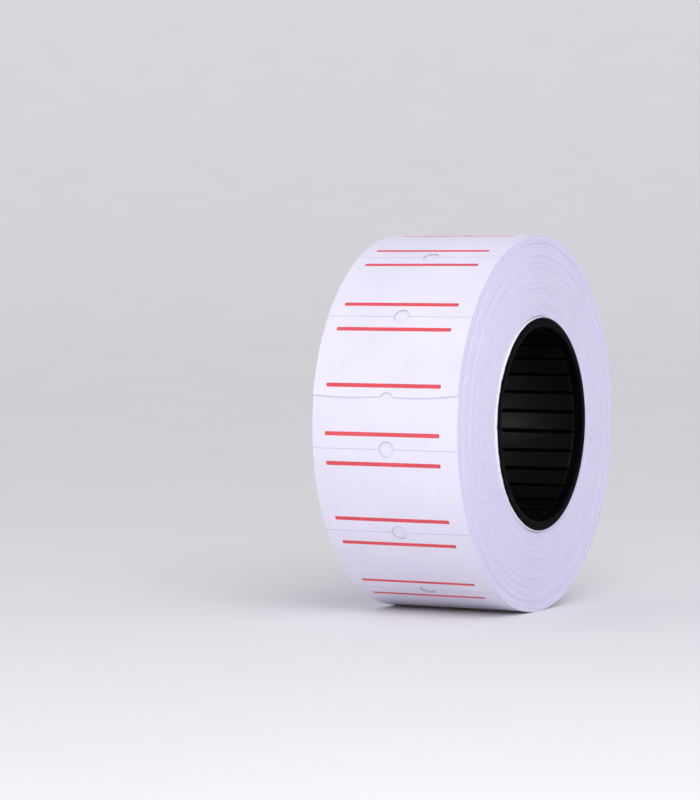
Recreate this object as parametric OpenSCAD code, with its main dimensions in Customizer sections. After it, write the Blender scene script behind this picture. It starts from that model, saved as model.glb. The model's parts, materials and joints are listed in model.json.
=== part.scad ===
// Roll of price-gun labels: a long strip of backing paper that carries butted, kiss-cut labels,
// wound in a spiral on a black plastic core. The first few labels at the free end form a lead
// that lifts off the roll label by label.
//
// The roll is drawn in a winding frame, x to the front, y up and z along the axle, and on_axle()
// turns that into the part's own frame: axle along +Y, +Z up, origin at the centre of the bore.

/* [Label strip] */
// Width of the strip and of each label, along the axle
strip_w = 21.5; // [18:0.5:26]
// Length of one label, along the strip
label_l = 12; // [10:0.5:16]
// Thickness of the backing paper
backing_t = 0.07; // [0.05:0.01:0.09]
// Thickness of a label with its film of glue
label_t = 0.09; // [0.06:0.01:0.11]
// Film of glue between a label and the backing, left open
glue_t = 0.015; // [0.005:0.005:0.03]
// Width of the die cut between two labels
cut_w = 0.06; // [0.02:0.01:0.12]

/* [Roll] */
// Diameter over the outermost labels
roll_d = 52; // [48:0.5:60]
// Height that each lap adds to the roll: the strip's thickness and some air
lap_pitch = 0.203; // [0.19:0.001:0.22]
// Height of the free end above the horizontal, as an angle at the axle
end_angle = 8.8; // [0:0.1:60]
// Number of labels in the lead, which lifts off the roll
lead_n = 4; // [4:1:4]
// Number of outer labels that are solids of their own
label_n = 18; // [18:1:18]

/* [Core] */
// Outer diameter of the core
core_d = 29.4; // [28:0.1:30]
// Diameter of the core's bore
bore_d = 26.6; // [25:0.1:27]
// Length of the core, a little more than the strip's width
core_l = 22.8; // [21.9:0.1:27]
// Number of grooves along the bore
groove_n = 30; // [16:1:36]
// Angle of one groove's middle above the horizontal
groove_at = 7.4; // [0:0.1:22]
// Width of a groove
groove_w = 0.5; // [0.3:0.05:0.7]
// Depth of a groove
groove_h = 0.4; // [0.2:0.05:0.6]
// Plain rim at each end of the bore, where the grooves stop
rim_l = 1.5; // [1:0.1:3]
// Chamfer on the core's edges
core_chamfer = 0.2; // [0.1:0.05:0.4]
// Thickness of the tape that holds the strip's inner end on the core
tape_t = 0.15; // [0.08:0.01:0.16]
// Angle between the tape's two ends
tape_gap = 6; // [2:1:20]
// Angle of the middle of that gap above the horizontal
tape_gap_at = 205; // [0:5:355]

/* [Printed lines] */
// Length of a printed line, along the axle
line_l = 17; // [12:0.5:20]
// Width of a printed line
line_w = 0.55; // [0.3:0.05:0.8]
// Distance from a label's edge to the middle of its line
line_inset = 2.0; // [1.5:0.1:3]
// Offset of the lines from the middle of the strip
line_shift = 0.35; // [-1:0.05:1]
// Thickness of the ink
ink_t = 0.02; // [0.01:0.005:0.02]

/* [Feed holes] */
// Diameter of the round hole that the gun's feed wheel enters, halfway on each cut
hole_d = 2.2; // [1.5:0.1:3]
// Offset of the holes from the middle of the strip
hole_shift = -0.28; // [-1:0.02:1]

/* [Hidden] */
roll_r = roll_d / 2;
strip_t = backing_t + label_t;
fold_gap = 0.02;                  // slit between two pieces of backing at a fold of the lead
tape_r = core_d / 2 + tape_t;
path_r = roll_r - label_t;        // radius of the face between backing and label at the free end
lap_n = floor((path_r - backing_t - tape_r) / lap_pitch);
arc_fn = 128;
bore_fn = 96;
hole_fn = 32;

// The strip follows a spiral of half turns, each an arc of a circle. Even half turns are centred on
// the axle, odd ones half a lap pitch to the back of it, so that each arc runs into the next.
half_n = 2 * lap_n;
function half_r(h) = path_r - h * lap_pitch / 2;
function half_centre(h) = h % 2 == 0 ? 0 : -lap_pitch / 2;
function half_start(h) = PI * (h * path_r - lap_pitch * h * (h - 1) / 4);
function half_of(s, h = 0) = s < half_start(h + 1) || h == half_n - 1 ? h : half_of(s, h + 1);
function angle_at(s, h) = round((s - half_start(h)) / half_r(h) * 180000 / PI) / 1000;
strip_l = half_start(half_n);

function two_digits(k) = k < 10 ? str("0", k) : str(k);
LABEL_NODES = [for (k = [1:label_n]) str("label_", two_digits(k))];
PRINT_NODES = [for (k = [1:label_n]) str("label_", two_digits(k), "_print")];
LEAD_NODES = [for (k = [1:lead_n]) str("lead_backing_", two_digits(k))];

// Turns the winding frame into the part's frame.
module on_axle() {
    rotate([90, 0, 180]) children();
}

// Puts its children at arc length s along the strip: x out of the roll, y along the strip, z along the axle.
module at_length(s) {
    h = half_of(s);
    rotate([0, 0, end_angle])
        translate([half_centre(h), 0, 0])
            rotate([0, 0, angle_at(s, h) + (h % 2) * 180])
                translate([half_r(h), 0, 0])
                    children();
}

// A stretch of strip from arc length s0 to s1, between two heights over the face between backing
// and label, from z0 to z1 along the axle.
module strip(s0, s1, low, high, z0 = -strip_w / 2, z1 = strip_w / 2) {
    rotate([0, 0, end_angle])
        for (h = [half_of(s0):half_of(s1 - 0.001)]) {
            a0 = max(0, angle_at(s0, h));
            a1 = min(180, angle_at(s1, h));
            translate([half_centre(h), 0, 0])
                rotate_extrude(angle = a1 - a0, start = a0 + (h % 2) * 180, $fn = arc_fn)
                    translate([half_r(h) + low, z0])
                        square([high - low, z1 - z0]);
        }
}

// The feed hole on the cut at arc length s, through one thickness of strip.
module feed_hole(s) {
    at_length(s)
        translate([-backing_t - 0.02, 0, hole_shift])
            rotate([0, 90, 0])
                cylinder(d = hole_d, h = strip_t + 0.04, $fn = hole_fn);
}

// Moulded core: a plain tube with grooves along its bore that stop short of both ends.
module core() {
    half_l = core_l / 2;
    color("#1b191d") on_axle() difference() {
        rotate_extrude($fn = bore_fn)
            polygon([
                [bore_d / 2, -half_l + core_chamfer],
                [bore_d / 2 + core_chamfer, -half_l],
                [core_d / 2 - core_chamfer, -half_l],
                [core_d / 2, -half_l + core_chamfer],
                [core_d / 2, half_l - core_chamfer],
                [core_d / 2 - core_chamfer, half_l],
                [bore_d / 2 + core_chamfer, half_l],
                [bore_d / 2, half_l - core_chamfer]
            ]);
        for (i = [0:groove_n - 1])
            rotate([0, 0, groove_at + i * 360 / groove_n])
                translate([bore_d / 2 - 1, -groove_w / 2, -half_l + rim_l])
                    cube([1 + groove_h, groove_w, core_l - 2 * rim_l]);
    }
}

// Tape once round the core, as long as the core, that holds the inner end of the strip.
module start_tape() {
    color("white") on_axle()
        rotate_extrude(angle = 360 - tape_gap, start = tape_gap_at + tape_gap / 2, $fn = arc_fn)
            translate([core_d / 2, -core_l / 2])
                square([tape_t, core_l]);
}

// The backing paper from the lead's last fold to the core: one long spiral strip.
module backing_strip() {
    color("#f4f2f7") on_axle() difference() {
        strip(lead_n * label_l + fold_gap / 2, strip_l, -backing_t, 0);
        for (k = [lead_n:label_n])
            feed_hole(k * label_l);
    }
}

// The labels of the inner laps, butted edge to edge, drawn as one strip.
module wound_labels() {
    color("#eceaf6") on_axle() difference() {
        strip(label_n * label_l + cut_w / 2, strip_l, glue_t, label_t);
        feed_hole(label_n * label_l);
    }
}

// Backing paper of the lead under label k, counted from the free end.
module lead_backing(k) {
    color("#f4f2f7") on_axle() difference() {
        strip((k - 1) * label_l + fold_gap / 2, k * label_l - fold_gap / 2, -backing_t, 0);
        for (s = [k - 1, k])
            feed_hole(s * label_l);
    }
}

// Label k, counted from the free end, with half a feed hole at each end.
module label(k) {
    color("white") on_axle() difference() {
        strip((k - 1) * label_l + cut_w / 2, k * label_l - cut_w / 2, glue_t, label_t);
        for (s = [k - 1, k])
            feed_hole(s * label_l);
    }
}

// The two lines of ink on label k, one near each cut.
module label_print(k) {
    color("#dc3c46") on_axle()
        for (s = [(k - 1) * label_l + line_inset, k * label_l - line_inset])
            strip(s - line_w / 2, s + line_w / 2, label_t, label_t + ink_t,
                  line_shift - line_l / 2, line_shift + line_l / 2);
}

core();
start_tape();
backing_strip();
wound_labels();
for (k = [1:lead_n])
    lead_backing(k);
for (k = [1:label_n]) {
    label(k);
    label_print(k);
}
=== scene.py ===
"""Looks of a roll of price labels: the wound strip, its labels and their red lines, the tape and the core.

Every piece of paper follows the spiral that the part's source draws. A place on the strip is an
arc length s from the free end, y along the axle, and a lift over the face between the backing
paper and the labels. Sizes are in metres, and angles in radians from the front horizontal upward.
"""

import json
import math

import bmesh
import bpy
import numpy as np
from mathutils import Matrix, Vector


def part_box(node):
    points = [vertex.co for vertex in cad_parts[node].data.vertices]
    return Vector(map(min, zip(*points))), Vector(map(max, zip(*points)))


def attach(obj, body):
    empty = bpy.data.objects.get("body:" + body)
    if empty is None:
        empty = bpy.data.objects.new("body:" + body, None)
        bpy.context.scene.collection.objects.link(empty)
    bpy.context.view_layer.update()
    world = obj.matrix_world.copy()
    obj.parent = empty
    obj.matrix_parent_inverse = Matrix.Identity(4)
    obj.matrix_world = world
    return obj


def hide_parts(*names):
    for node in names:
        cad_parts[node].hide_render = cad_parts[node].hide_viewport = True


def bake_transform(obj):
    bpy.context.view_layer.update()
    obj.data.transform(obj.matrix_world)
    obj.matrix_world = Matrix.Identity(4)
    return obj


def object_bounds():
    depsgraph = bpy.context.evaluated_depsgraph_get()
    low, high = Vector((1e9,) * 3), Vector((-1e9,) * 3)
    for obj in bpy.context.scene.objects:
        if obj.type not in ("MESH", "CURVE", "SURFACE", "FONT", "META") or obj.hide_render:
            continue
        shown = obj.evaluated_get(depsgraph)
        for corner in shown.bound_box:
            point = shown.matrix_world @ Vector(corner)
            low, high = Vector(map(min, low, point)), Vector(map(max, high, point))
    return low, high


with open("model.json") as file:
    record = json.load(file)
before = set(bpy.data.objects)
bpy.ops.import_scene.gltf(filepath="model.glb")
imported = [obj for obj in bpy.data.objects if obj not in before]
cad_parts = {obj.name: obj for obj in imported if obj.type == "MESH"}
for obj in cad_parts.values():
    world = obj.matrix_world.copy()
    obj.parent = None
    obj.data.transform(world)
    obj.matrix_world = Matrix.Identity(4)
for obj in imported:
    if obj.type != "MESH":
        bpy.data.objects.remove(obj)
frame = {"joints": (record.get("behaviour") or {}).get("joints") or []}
cad_low, cad_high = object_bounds()
random = np.random.default_rng(12)
MM = 0.001

# Sizes that the frame gives.
HINGES = {joint["child"]: Vector(joint["pos_m"]) for joint in frame["joints"]}
ROLL_R = HINGES["lead_01"].length
CORE_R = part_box("core")[1].z
CORE_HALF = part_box("core")[1].y
TAPE_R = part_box("start_tape")[1].z
STRIP_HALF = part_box("backing_strip")[1].y

# Sizes that the part's source gives.
LEAD_N = 4
LABEL_N = 18
LABEL_T = 0.09 * MM
BACKING_T = 0.07 * MM
INK_T = 0.02 * MM
CUT_W = 0.06 * MM
LAP_PITCH = 0.203 * MM
HOLE_R = 1.1 * MM
HOLE_Y = -0.28 * MM
LINE_L = 17 * MM
LINE_W = 0.55 * MM
LINE_INSET = 2.0 * MM
LINE_Y = 0.35 * MM
BORE_R = 13.3 * MM
GROOVE_N = 30
GROOVE_AT = math.radians(7.4)
GROOVE_W = 0.5 * MM
GROOVE_H = 0.4 * MM
RIM_L = 1.5 * MM
TAPE_GAP = math.radians(6)
TAPE_GAP_AT = math.radians(205)

# ---------------------------------------------------------------- the strip's path
PATH_R = ROLL_R - LABEL_T


def polar(point):
    return math.atan2(point.z, -point.x)


LABEL_L = (polar(HINGES["lead_02"]) - polar(HINGES["lead_01"])) * PATH_R
END_ANGLE = polar(HINGES["lead_01"]) - LABEL_L / PATH_R
HALF_N = 2 * int((PATH_R - BACKING_T - TAPE_R) / LAP_PITCH)
HALVES = np.arange(HALF_N)
HALF_START = math.pi * (HALVES * PATH_R - LAP_PITCH * HALVES * (HALVES - 1) / 4)
STRIP_L = math.pi * (HALF_N * PATH_R - LAP_PITCH * HALF_N * (HALF_N - 1) / 4)


def half_turn(s):
    """The half turn that holds s, its radius, and the angle of s at its centre."""
    half = np.clip(np.searchsorted(HALF_START, s, side="right") - 1, 0, HALF_N - 1)
    radius = PATH_R - half * LAP_PITCH / 2
    return half, radius, (s - HALF_START[half]) / radius


def on_strip(s, y, lift):
    """Points of the frame for places on the strip, as an array with x, y and z last."""
    s, y, lift = np.broadcast_arrays(np.asarray(s, float), y, lift)
    half, radius, angle = half_turn(s)
    odd = half % 2
    angle = angle + odd * math.pi
    front = (radius + lift) * np.cos(angle) - odd * LAP_PITCH / 2
    up = (radius + lift) * np.sin(angle)
    cos, sin = math.cos(END_ANGLE), math.sin(END_ANGLE)
    return np.stack([-(front * cos - up * sin), y, front * sin + up * cos], axis=-1)


# ---------------------------------------------------------------- how the paper wanders
LAP_L = math.tau * PATH_R
WANDER_STEP = 0.24 * LAP_L
wander_knots = np.cumsum(random.normal(0, 0.006 * MM, int(STRIP_L / WANDER_STEP) + 6))
wander_knots -= np.convolve(np.pad(wander_knots, 12, "edge"), np.ones(25) / 25, "valid")
wander_knots += random.normal(0, 0.005 * MM, len(wander_knots))

# The outermost lap lies off the middle, to +Y, and the innermost lies further to -Y by the dish.
OUTER_SHIFT = 0.1 * MM
DISH = 0.42 * MM
# Steps on the side face: the share of the strip's length where one lies, how gently it comes, its height.
STEPS = [(0.115, 0.002, 0.104 * MM), (0.16, 0.01, -0.104 * MM), (0.31, 0.003, 0.065 * MM),
         (0.38, 0.02, -0.078 * MM), (0.9, 0.003, 0.078 * MM)]


def wander(s):
    """How far the strip lies off the roll's middle, along the axle.

    Each lap lands a little differently, a few make a step, and the inner laps stand out to the -Y side.
    """
    at_knot = np.clip(np.asarray(s, float) / WANDER_STEP, 0, len(wander_knots) - 2)
    knot = at_knot.astype(int)
    t = at_knot - knot
    t = t * t * (3 - 2 * t)
    off = wander_knots[knot] * (1 - t) + wander_knots[knot + 1] * t
    depth = np.asarray(s, float) / STRIP_L
    for place, width, height in STEPS:
        off = off + height / (1 + np.exp((place - depth) / width))
    return off * np.clip(depth * 60 - 1, 0, 1) + OUTER_SHIFT - DISH * depth


def cockle(s, y):
    """Slow waves in the paper, so that the labels don't lie like glass."""
    a, b = np.asarray(s, float) / LABEL_L, np.asarray(y, float) / STRIP_HALF
    wave = np.sin(2.3 * a + 1.1 * b + 0.4) * np.sin(1.7 * b - 0.6 * a)
    ripple = 0.6 * np.sin(4.1 * a + 2.6 * b + 1.9)
    return 0.009 * MM * (wave + ripple)


def end_lift(s, y):
    """The free end stands off the roll by a hair, most at its corners."""
    reach = np.clip(1 - np.asarray(s, float) / (0.5 * LABEL_L), 0, 1)
    corner = 0.008 + 0.03 * (np.asarray(y, float) / STRIP_HALF) ** 2
    return corner * MM * reach ** 2


def lifted(s, y, lift):
    return on_strip(s, y + wander(s), lift + cockle(s, y) + end_lift(s, y))


def end_edge(y):
    """The free end was trimmed by hand, about half a millimetre past the die cut, so its edge wavers."""
    b = np.asarray(y, float) / STRIP_HALF
    return MM * (0.42 + 0.28 * b ** 2 - 0.06 * b + 0.09 * np.sin(5.2 * b + 1.2))


# ---------------------------------------------------------------- mesh making
WELD = 1e-7
SHARP_ANGLE = math.radians(40)


def build(name, shape, materials):
    """An object from (points, faces, slots): its shared points are welded, and its corners stay sharp."""
    points, faces, slots = shape
    mesh = bpy.data.meshes.new(name)
    mesh.from_pydata(points.tolist(), [], faces.tolist())
    for made in materials:
        mesh.materials.append(made)
    mesh.polygons.foreach_set("material_index", slots.astype(np.int32))
    mesh.polygons.foreach_set("use_smooth", np.ones(len(faces), bool))
    mesh.update()
    work = bmesh.new()
    work.from_mesh(mesh)
    bmesh.ops.remove_doubles(work, verts=work.verts, dist=WELD)
    work.to_mesh(mesh)
    work.free()
    mesh.set_sharp_from_angle(angle=SHARP_ANGLE)
    piece = bpy.data.objects.new(name, mesh)
    bpy.context.scene.collection.objects.link(piece)
    return piece


def grid_faces(index, flip=False):
    """The quads between the points of a grid, from their numbers laid out in rows and columns."""
    corners = [index[:-1, :-1], index[1:, :-1], index[1:, 1:], index[:-1, 1:]]
    quads = np.stack(corners, axis=-1).reshape(-1, 4)
    return quads[:, ::-1] if flip else quads


def grid_index(rows, columns):
    return np.arange(rows * columns).reshape(rows, columns)


# The third slot holds the feed holes' walls, coloured dark grey as painted shade inside the holes.
FACE_SLOT, EDGE_SLOT, HOLE_SHADE_SLOT = 0, 1, 2


def slab(low, high, start_wall=None, end_wall=None, punched=None):
    """A sheet between two grids of points, with walls round it, as (points, faces, slots).

    Rows run along the strip and columns across it. start_wall and end_wall say which quads of the
    wall at the first and last row are wanted, where the sheet goes on in another one. punched says
    which of those quads line a feed hole.
    """
    rows, columns = low.shape[:2]
    count = rows * columns
    grid = grid_index(rows, columns)
    every = np.ones(columns - 1, bool)
    # Wall quads that line a feed hole take the slot of the painted shade.
    end_slots = np.where(every if punched is None else ~punched, EDGE_SLOT, HOLE_SHADE_SLOT)
    side, side_slots = np.ones(rows - 1, bool), np.full(rows - 1, EDGE_SLOT)
    walls = [(grid[0], True, every if start_wall is None else start_wall, end_slots),
             (grid[-1], False, every if end_wall is None else end_wall, end_slots),
             (grid[:, 0], False, side, side_slots),
             (grid[:, -1], True, side, side_slots)]
    faces = [grid_faces(grid, True), grid_faces(grid + count)]
    slots = [np.full(len(faces[0]) + len(faces[1]), FACE_SLOT)]
    for line, flip, wanted, wall_slots in walls:
        quads = np.stack([line[:-1], line[1:], line[1:] + count, line[:-1] + count], axis=-1)
        faces.append((quads[:, ::-1] if flip else quads)[wanted])
        slots.append(wall_slots[wanted])
    points = np.concatenate([low.reshape(-1, 3), high.reshape(-1, 3)])
    return points, np.concatenate(faces), np.concatenate(slots)


def join(parts):
    """One set of points, faces and slots from several."""
    offset, points, faces, slots = 0, [], [], []
    for p, f, m in parts:
        points.append(p)
        faces.append(f + offset)
        slots.append(m)
        offset += len(p)
    return np.concatenate(points), np.concatenate(faces), np.concatenate(slots)


def across():
    """Places along y for a sheet's columns: even ones, and fine ones across the feed hole."""
    plain = np.linspace(-STRIP_HALF, STRIP_HALF, 37)
    plain = plain[np.abs(plain - HOLE_Y) > 1.15 * HOLE_R]
    hole = HOLE_Y - HOLE_R * np.cos(np.linspace(0, math.pi, 17))
    return np.sort(np.concatenate([plain, hole]))


def hole_reach(y):
    """How far the feed hole reaches along the strip at y."""
    return np.sqrt(np.clip(HOLE_R ** 2 - (y - HOLE_Y) ** 2, 0, None))


ROWS_PER_LABEL = 19
STEPS_PER_LAP = 150
# The laps are pressed together, so the backing is drawn as thick as the air under it lets it be.
TIGHT_GAP = 0.004 * MM
TIGHT_LOW = LABEL_T - LAP_PITCH + TIGHT_GAP
# The lengths of the lead's backing stay a hair apart, because they bend over different folds.
SEAM = 0.004 * MM
# What is left between the innermost lap and the tape.
TAPE_AIR = 0.12 * MM


def length_of_strip(k, gap, low, high, goes_on=(False, False), last=False):
    """The strip from cut k - 1 to cut k, with half a feed hole at each end, or only at its start if last.

    goes_on says for the start and the end whether the same sheet goes on past the cut.
    """
    y = across()
    begin = (k - 1) * LABEL_L + np.maximum(gap / 2, hole_reach(y))
    if k == 1:
        begin = np.maximum(end_edge(y), hole_reach(y))
    end = k * LABEL_L - (0 if last else np.maximum(gap / 2, hole_reach(y)))
    t = np.linspace(0, 1, ROWS_PER_LABEL)[:, None]
    s = begin * (1 - t) + end * t
    at_hole = hole_reach((y[:-1] + y[1:]) / 2) > 0
    walls = [at_hole if more else None for more in goes_on]
    return slab(lifted(s, y, low), lifted(s, y, high), *walls, punched=at_hole)


def ribbon(begin, low, high):
    """The strip from the arc length begin to its inner end, with straight sides.

    low is a lift, or a function that gives the lift at an arc length.
    """
    s = np.linspace(begin, STRIP_L, int((STRIP_L - begin) / LAP_L * STEPS_PER_LAP))[:, None]
    y = np.array([-STRIP_HALF, STRIP_HALF])
    return slab(lifted(s, y, low(s) if callable(low) else low), lifted(s, y, high))


def down_to_tape(s):
    """The lift of the backing's lower face. The innermost lap comes down until it almost meets the tape."""
    to_axle = np.linalg.norm(on_strip(s, 0.0, 0.0), axis=-1)
    innermost = s > STRIP_L - math.tau * TAPE_R
    return np.where(innermost, np.minimum(TIGHT_LOW, TAPE_R + TAPE_AIR - to_axle), TIGHT_LOW)


# ---------------------------------------------------------------- materials
def material(name, base, roughness, specular=0.5):
    """A new Principled material, as (material, shader, a helper that adds and links nodes, links)."""
    made = bpy.data.materials.new(name)
    made.use_nodes = True
    nodes, links = made.node_tree.nodes, made.node_tree.links
    shader = nodes["Principled BSDF"]
    shader.inputs["Base Color"].default_value = (*base, 1)
    shader.inputs["Roughness"].default_value = roughness
    shader.inputs["Specular IOR Level"].default_value = specular

    def add(kind, inputs=None, **settings):
        node = nodes.new(kind)
        for key, value in settings.items():
            setattr(node, key, value)
        for key, value in (inputs or {}).items():
            if isinstance(value, bpy.types.NodeSocket):
                links.new(value, node.inputs[key])
            else:
                node.inputs[key].default_value = value
        return node

    return made, shader, add, links


def ramp(add, factor, stops):
    """A colour ramp through stops of (place, colour)."""
    node = add("ShaderNodeValToRGB", {"Fac": factor})
    elements = node.color_ramp.elements
    while len(elements) < len(stops):
        elements.new(0.5)
    for element, (place, colour) in zip(elements, stops):
        element.position = place
        element.color = (*colour, 1)
    return node.outputs["Color"]


def tones(add, factor, base, *stops):
    """A colour ramp of one base colour, from stops of (place, share of the colour)."""
    return ramp(add, factor, [(place, tuple(c * share for c in base)) for place, share in stops])


def multiply(add, first, second):
    """Two colours multiplied."""
    colours = {"Factor": 1, "A": first, "B": second}
    return add("ShaderNodeMix", colours, data_type="RGBA", blend_type="MULTIPLY").outputs["Result"]


def bump(add, shader, links, height, strength, distance):
    node = add("ShaderNodeBump", {"Height": height, "Strength": strength, "Distance": distance})
    links.new(node.outputs["Normal"], shader.inputs["Normal"])


WHITE = (1, 1, 1)
LABEL_COLOUR = (0.825, 0.795, 0.94)
EDGE_COLOUR = (0.77, 0.741, 0.96)


def paper(name, base, roughness, fibre, specular=0.4):
    """Smooth coated paper: faint clouds of tone, fine fibres and a slight bump."""
    made, shader, add, links = material(name, base, roughness, specular)
    place = add("ShaderNodeTexCoord").outputs["Object"]
    cloud = add("ShaderNodeTexNoise", {"Vector": place, "Scale": 140, "Detail": 4})
    grain = add("ShaderNodeTexNoise", {"Vector": place, "Scale": 5200, "Detail": 3, "Roughness": 0.7})
    tone = tones(add, cloud.outputs["Fac"], base, (0.3, 0.965), (0.7, 1.02))
    fleck = tones(add, grain.outputs["Fac"], WHITE, (0.3, 0.97), (0.6, 1.0))
    links.new(multiply(add, tone, fleck), shader.inputs["Base Color"])
    rough = add("ShaderNodeMapRange", {"Value": cloud.outputs["Fac"], "To Min": roughness - 0.05,
                                       "To Max": roughness + 0.07})
    links.new(rough.outputs["Result"], shader.inputs["Roughness"])
    bump(add, shader, links, grain.outputs["Fac"], fibre, 0.01 * MM)
    return made


def cut_edges(name):
    """The strip's cut sides: rough paper edges whose tone differs from lap to lap."""
    made, shader, add, links = material(name, EDGE_COLOUR, 0.8, 0.25)
    place = add("ShaderNodeTexCoord").outputs["Object"]
    flat = add("ShaderNodeVectorMath", {0: place, 1: (1, 0, 1)}, operation="MULTIPLY")
    radius = add("ShaderNodeVectorMath", {0: flat.outputs["Vector"]}, operation="LENGTH").outputs["Value"]
    laps = add("ShaderNodeTexNoise", {"W": radius, "Scale": 2600, "Detail": 3, "Roughness": 0.75},
               noise_dimensions="1D")
    cloud = add("ShaderNodeTexNoise", {"Vector": place, "Scale": 90, "Detail": 3})
    scratch = add("ShaderNodeTexNoise", {"Vector": place, "Scale": 1500, "Detail": 4, "Roughness": 0.7,
                                         "Distortion": 0.6})
    tone = tones(add, laps.outputs["Fac"], EDGE_COLOUR, (0.32, 0.955), (0.62, 1.02))
    torn = tones(add, scratch.outputs["Fac"], WHITE, (0.34, 0.93), (0.5, 1.0))
    patch = tones(add, cloud.outputs["Fac"], WHITE, (0.3, 0.96), (0.65, 1.0))
    worn = multiply(add, torn, patch)
    links.new(multiply(add, tone, worn), shader.inputs["Base Color"])
    bump(add, shader, links, laps.outputs["Fac"], 0.3, 0.02 * MM)
    return made


def red_ink(name, base):
    """Printed ink: dense red, with a fine mottle and a slow change of density."""
    made, shader, add, links = material(name, base, 0.42, 0.4)
    place = add("ShaderNodeTexCoord").outputs["Object"]
    mottle = add("ShaderNodeTexNoise", {"Vector": place, "Scale": 2600, "Detail": 4, "Roughness": 0.6})
    density = add("ShaderNodeTexNoise", {"Vector": place, "Scale": 170, "Detail": 1})
    tone = tones(add, mottle.outputs["Fac"], base, (0.25, 0.9), (0.75, 1.1))
    film = tones(add, density.outputs["Fac"], WHITE, (0.35, 0.9), (0.6, 1.0))
    links.new(multiply(add, tone, film), shader.inputs["Base Color"])
    bump(add, shader, links, mottle.outputs["Fac"], 0.3, 0.008 * MM)
    return made


DUST_COLOUR = (0.06, 0.056, 0.055, 1)


def black_plastic(name, base, specular):
    """Moulded black plastic: satin, with faint flow marks along the bore and dust."""
    made, shader, add, links = material(name, base, 0.36, specular)
    place = add("ShaderNodeTexCoord").outputs["Object"]
    along = add("ShaderNodeMapping", {"Vector": place, "Scale": (900, 45, 900)})
    flow = add("ShaderNodeTexNoise", {"Vector": along.outputs["Vector"], "Scale": 1, "Detail": 4})
    dust = add("ShaderNodeTexNoise", {"Vector": place, "Scale": 3800, "Detail": 2})
    tone = tones(add, flow.outputs["Fac"], base, (0.3, 0.7), (0.75, 1.4))
    speck = tones(add, dust.outputs["Fac"], WHITE, (0.76, 0), (0.80, 1))
    mix = add("ShaderNodeMix", {"Factor": speck, "A": tone, "B": DUST_COLOUR}, data_type="RGBA")
    links.new(mix.outputs["Result"], shader.inputs["Base Color"])
    rough = add("ShaderNodeMapRange", {"Value": flow.outputs["Fac"], "To Min": 0.3, "To Max": 0.42})
    links.new(rough.outputs["Result"], shader.inputs["Roughness"])
    bump(add, shader, links, flow.outputs["Fac"], 0.25, 0.03 * MM)
    return made


LABEL_PAPER = paper("label_paper", LABEL_COLOUR, 0.5, 0.25)
BACKING_PAPER = paper("backing_paper", (0.80, 0.785, 0.88), 0.36, 0.15, 0.5)
TAPE_PAPER = paper("tape_paper", (0.93, 0.93, 0.97), 0.3, 0.1, 0.5)
CUT_EDGES = cut_edges("cut_edges")
# The feed holes' walls: a dark grey that paints the shade inside the holes.
HOLE_WALL_SHADE = paper("hole_wall_painted_shade", (0.54, 0.52, 0.57), 0.8, 0.3, 0.2)
LABEL_LOOKS = [LABEL_PAPER, CUT_EDGES, HOLE_WALL_SHADE]
BACKING_LOOKS = [BACKING_PAPER, CUT_EDGES, HOLE_WALL_SHADE]
INK = red_ink("red_ink", (0.80, 0.085, 0.108))
INK_POOL = red_ink("red_ink_pool", (0.42, 0.06, 0.10))
PLASTIC = black_plastic("black_plastic", (0.0021, 0.0015, 0.0018), 0.30)
MATT_PLASTIC = black_plastic("matt_black_plastic", (0.0017, 0.0015, 0.0022), 0.012)


# ---------------------------------------------------------------- the pieces
def settle(piece, body, nodes, fold=None):
    """Puts a piece in place of its CAD nodes and on its body. A piece of the lead that has a fold is put on
    no body; its place is baked into its points instead.
    """
    if fold is None:
        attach(piece, body)
    else:
        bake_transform(piece)
    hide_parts(*nodes)


def cut_point(k):
    return tuple(on_strip(k * LABEL_L, 0.0, LABEL_T).tolist())


def lead_fold(k):
    """What a length of the lead bends between: the body before it and its own, over its own length."""
    before = "roll" if k == LEAD_N else f"lead_{k + 1:02d}"
    return before, f"lead_{k:02d}", cut_point(k), cut_point(k - 1)


INK_SLOT, POOL_SLOT = 0, 1
INK_LOW = LABEL_T - 0.01 * MM
INK_HIGH = LABEL_T + 0.6 * INK_T


def printed_lines(k):
    """The two lines of ink on label k: rounded ends, edges that waver a little, a pool at the near end."""
    parts = []
    for middle in ((k - 1) * LABEL_L + LINE_INSET, k * LABEL_L - LINE_INSET):
        t = (1 - np.cos(np.linspace(0, math.pi, 61))) / 2
        y = LINE_Y + LINE_L * (t - 0.5)
        from_end = LINE_L / 2 - np.abs(y - LINE_Y)
        corner = 0.16 * MM
        inset = corner - np.sqrt(np.clip(corner ** 2 - np.clip(corner - from_end, 0, corner) ** 2, 0, None))
        half = LINE_W / 2 - inset
        edges = [random.normal(0, 0.006 * MM, len(y)) for _ in range(2)]
        across_line = np.linspace(0, 1, 5)[:, None]
        s = (middle - half + edges[0]) * (1 - across_line) + (middle + half + edges[1]) * across_line
        points, faces, slots = slab(lifted(s, y, INK_LOW), lifted(s, y, INK_HIGH))
        at_near_end = np.resize(np.arange(len(y) - 1) < 4, len(slots))
        parts.append((points, faces, np.where(at_near_end, POOL_SLOT, INK_SLOT)))
    return join(parts)


def make_labels():
    for k in range(1, LABEL_N + 1):
        name = f"label_{k:02d}"
        label = build(f"{name}_paper", length_of_strip(k, CUT_W, TIGHT_GAP, LABEL_T), LABEL_LOOKS)
        lines = build(f"{name}_lines", printed_lines(k), [INK, INK_POOL])
        fold = None
        if k == 1:
            fold = ("lead_01", "end_label", cut_point(1), cut_point(0))
        elif k <= LEAD_N:
            fold = lead_fold(k)
        settle(label, "roll", [name], fold)
        settle(lines, "roll", [f"{name}_print"], fold)


def make_lead_backings():
    """The backing paper of the lead. The first length keeps its curve, because a label stiffens it."""
    for k in range(1, LEAD_N + 1):
        name = f"lead_backing_{k:02d}"
        shape = length_of_strip(k, SEAM, TIGHT_LOW, 0)
        backing = build(f"{name}_paper", shape, BACKING_LOOKS)
        settle(backing, "lead_01", [name], lead_fold(k) if k > 1 else None)


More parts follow.
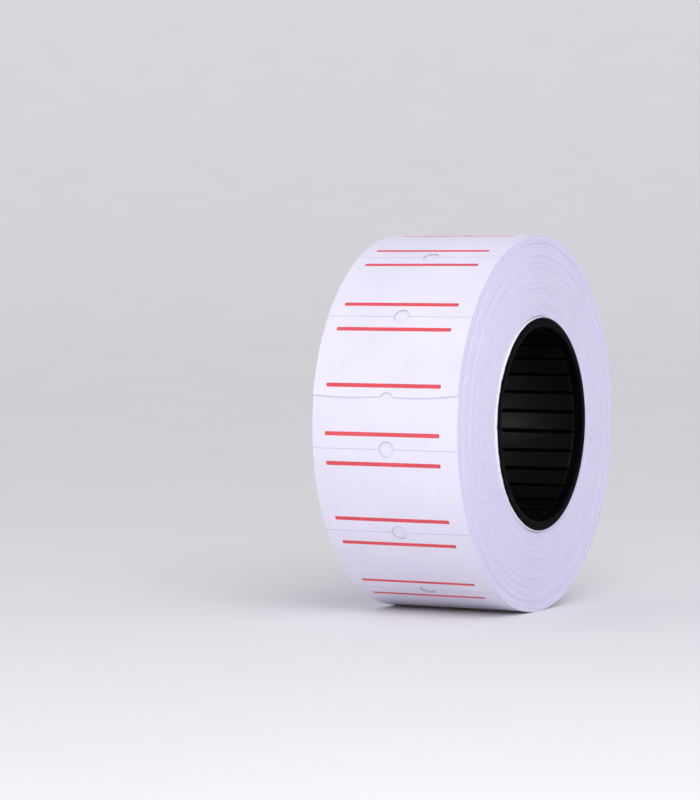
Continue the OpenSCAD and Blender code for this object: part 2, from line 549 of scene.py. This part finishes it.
def make_wound_strip():
    """The backing paper that stays on the roll, and the labels of the inner laps."""
    under_labels = range(LEAD_N + 1, LABEL_N + 1)
    parts = [length_of_strip(k, 0, TIGHT_LOW, 0, goes_on=(k > LEAD_N + 1, True)) for k in under_labels]
    parts.append(length_of_strip(LABEL_N + 1, 0, TIGHT_LOW, 0, goes_on=(True, False), last=True))
    parts.append(ribbon((LABEL_N + 1) * LABEL_L, down_to_tape, 0))
    backing = build("backing_strip_paper", join(parts), BACKING_LOOKS)
    settle(backing, "roll", ["backing_strip"])
    parts = [length_of_strip(LABEL_N + 1, CUT_W, TIGHT_GAP, LABEL_T, last=True),
             ribbon((LABEL_N + 1) * LABEL_L, TIGHT_GAP, LABEL_T)]
    labels = build("wound_labels_paper", join(parts), LABEL_LOOKS)
    settle(labels, "roll", ["wound_labels"])


def make_tape():
    """The tape round the core, whose edges were torn a little unevenly."""
    angle = TAPE_GAP_AT + np.linspace(TAPE_GAP / 2, 2 * math.pi - TAPE_GAP / 2, 361)[:, None]
    notches = 0.05 * MM * np.clip(random.normal(0, 1, (2, *angle.shape)) - 1, 0, 1)
    edge = CORE_HALF - MM * (0.12 + 0.025 * np.sin(7 * angle) + 0.012 * np.sin(31 * angle + 1))
    y = np.concatenate([notches[0] - edge, edge - notches[1]], axis=1)

    def ring(radius):
        return np.stack([-radius * np.cos(angle) + 0 * y, y, radius * np.sin(angle) + 0 * y], axis=-1)

    tape = build("start_tape_film", slab(ring(CORE_R + 0.004 * MM), ring(TAPE_R)), [TAPE_PAPER, CUT_EDGES])
    settle(tape, "roll", ["start_tape"])


def core_profile():
    """The core's outline as (radius, y, share of the groove's depth), round once from the bore."""
    collar = BORE_R + 0.09 * MM
    groove_end = CORE_HALF - RIM_L
    inner_round, outer_round = 0.28 * MM, 0.22 * MM
    side = [(BORE_R, 0.0, 1), (BORE_R, groove_end * 0.5, 1), (BORE_R, groove_end - 0.20 * MM, 1),
            (BORE_R, groove_end - 0.09 * MM, 0.95), (BORE_R, groove_end - 0.03 * MM, 0.45),
            (BORE_R, groove_end, 0.08), (BORE_R, groove_end + 0.04 * MM, 0),
            (BORE_R + 0.01 * MM, groove_end + 0.12 * MM, 0),
            (BORE_R + 0.045 * MM, groove_end + 0.30 * MM, 0),
            (collar - 0.01 * MM, groove_end + 0.46 * MM, 0), (collar, groove_end + 0.55 * MM, 0)]
    quarter = np.linspace(0, math.pi / 2, 6)
    for t in quarter:
        radius = collar + inner_round * (1 - math.cos(t))
        side.append((radius, CORE_HALF - inner_round * (1 - math.sin(t)), 0))
    side.append(((BORE_R + CORE_R) / 2, CORE_HALF, 0))
    for t in quarter:
        radius = CORE_R - outer_round * (1 - math.sin(t))
        side.append((radius, CORE_HALF - outer_round * (1 - math.cos(t)), 0))
    side.append((CORE_R, CORE_HALF / 2, 0))
    other = [(radius, -y, share) for radius, y, share in side[1:]]
    return np.array(side + [(CORE_R, 0.0, 0)] + other[::-1])


def groove_columns():
    """Angles round the bore, close together at each groove's walls, with the groove's depth at each."""
    pitch = 2 * math.pi / GROOVE_N
    offset = np.array([0, 0.5, 0.86, 0.92, 0.97, 1.02, 1.08, 1.18, 1.6, 2.6, 4.0]) * GROOVE_W / 2
    depth = GROOVE_H * np.array([1, 1, 0.97, 0.82, 0.45, 0.14, 0.03, 0, 0, 0, 0])
    offset = np.concatenate([-offset[:0:-1], offset]) / BORE_R
    depth = np.concatenate([depth[:0:-1], depth])
    angles = np.concatenate([GROOVE_AT + i * pitch + offset for i in range(GROOVE_N)])
    return angles, np.tile(depth, GROOVE_N)


MATT_FROM = CORE_HALF - RIM_L + 0.3 * MM


def make_core():
    """The core: a closed ring of profiles, matt at its rims and in its grooves."""
    profile = core_profile()
    angle, depth = groove_columns()
    radius = profile[:, 0, None] + profile[:, 2, None] * depth
    y = profile[:, 1, None] + 0 * angle
    points = np.stack([-radius * np.cos(angle), y, radius * np.sin(angle)], axis=-1)
    quads = grid_faces(np.pad(grid_index(*points.shape[:2]), ((0, 1), (0, 1)), "wrap"))
    at_rim = np.abs(profile[:, 1, None]) > MATT_FROM
    in_groove = np.minimum(depth, np.roll(depth, -1)) > 0.1 * GROOVE_H
    slots = (at_rim | in_groove).astype(int).ravel()
    core = build("core_tube", (points.reshape(-1, 3), quads, slots), [PLASTIC, MATT_PLASTIC])
    settle(core, "roll", ["core"])


# ---------------------------------------------------------------- floor, light and camera
FLOOR_Z = cad_low.z
FLOOR_R = 2.4
RISE_R = 1.2


def make_floor():
    """A pale round floor whose far edge curves up into a wall, so that no horizon shows."""
    made, shader, add, links = material("pale_floor", (0.86, 0.86, 0.87), 0.75, 0.2)
    place = add("ShaderNodeTexCoord").outputs["Object"]
    cloud = add("ShaderNodeTexNoise", {"Vector": place, "Scale": 30, "Detail": 3})
    links.new(ramp(add, cloud.outputs["Fac"], [(0.2, (0.85, 0.85, 0.86)), (0.8, (0.87, 0.87, 0.88))]),
              shader.inputs["Base Color"])
    t = np.linspace(0, math.pi / 2, 25)
    profile = [(0.0, 0.0), (0.2, 0.0), (0.6, 0.0)]
    profile += [(FLOOR_R - RISE_R + RISE_R * math.sin(a), RISE_R * (1 - math.cos(a))) for a in t]
    turn = np.linspace(0, 2 * math.pi, 97)
    radius, height = np.array(profile).T
    points = np.stack([radius[:, None] * np.cos(turn), radius[:, None] * np.sin(turn),
                       FLOOR_Z + height[:, None] + 0 * turn], axis=-1)
    faces = grid_faces(grid_index(*points.shape[:2]))
    floor = build("floor", (points.reshape(-1, 3), faces, np.zeros(len(faces), int)), [made])


def direction(azimuth, elevation):
    """The way from the roll to a camera or lamp at these angles in degrees. Azimuth 0 looks along +Y."""
    a, e = math.radians(azimuth), math.radians(elevation)
    return Vector((math.sin(a) * math.cos(e), -math.cos(a) * math.cos(e), math.sin(e)))


def aimed(name, data, place, back):
    """Puts a lamp or camera at a place. back points the way that its rear faces."""
    rig = bpy.data.objects.new(name, data)
    rig.location = place
    rig.rotation_mode = "QUATERNION"
    rig.rotation_quaternion = (-back).to_track_quat("-Z", "Y")
    bpy.context.scene.collection.objects.link(rig)
    return rig


def softbox(name, azimuth, elevation, distance, size, power):
    light = bpy.data.lights.new(name, "AREA")
    light.shape = "SQUARE"
    light.size = size
    light.energy = power
    back = direction(azimuth, elevation)
    lamp = aimed(name, light, back * distance, back)
    lamp.visible_camera = False


def soft_sun(name, azimuth, elevation, spread, strength):
    light = bpy.data.lights.new(name, "SUN")
    light.angle = math.radians(spread)
    light.energy = strength
    back = direction(azimuth, elevation)
    aimed(name, light, back, back)


def make_lights():
    softbox("key", -122, 4, 0.5, 0.12, 0.15)
    softbox("side", -54, 26, 0.36, 0.26, 0.52)
    soft_sun("fill", -56, 34, 60, 0.60)
    world = bpy.data.worlds.new("studio")
    world.use_nodes = True
    world.node_tree.nodes["Background"].inputs["Color"].default_value = (0.95, 0.95, 1.0, 1)
    world.node_tree.nodes["Background"].inputs["Strength"].default_value = 0.65
    bpy.context.scene.world = world
    bpy.context.scene.view_settings.view_transform = "Standard"


def make_camera():
    """A long lens almost level with the roll. It aims a little past it, so the roll is at the right."""
    azimuth, elevation, distance = -64.53, 2.85, 0.4511
    pan, tilt = 2.10, -0.39
    camera = bpy.data.cameras.new("camera")
    camera.sensor_width = 36
    camera.lens = 145.5
    camera.clip_start = 0.01
    place = direction(azimuth, elevation) * distance
    bpy.context.scene.camera = aimed("camera", camera, place, direction(azimuth + pan, elevation + tilt))


make_camera()
make_floor()
make_lights()
make_core()
make_tape()
make_wound_strip()
make_lead_backings()
make_labels()
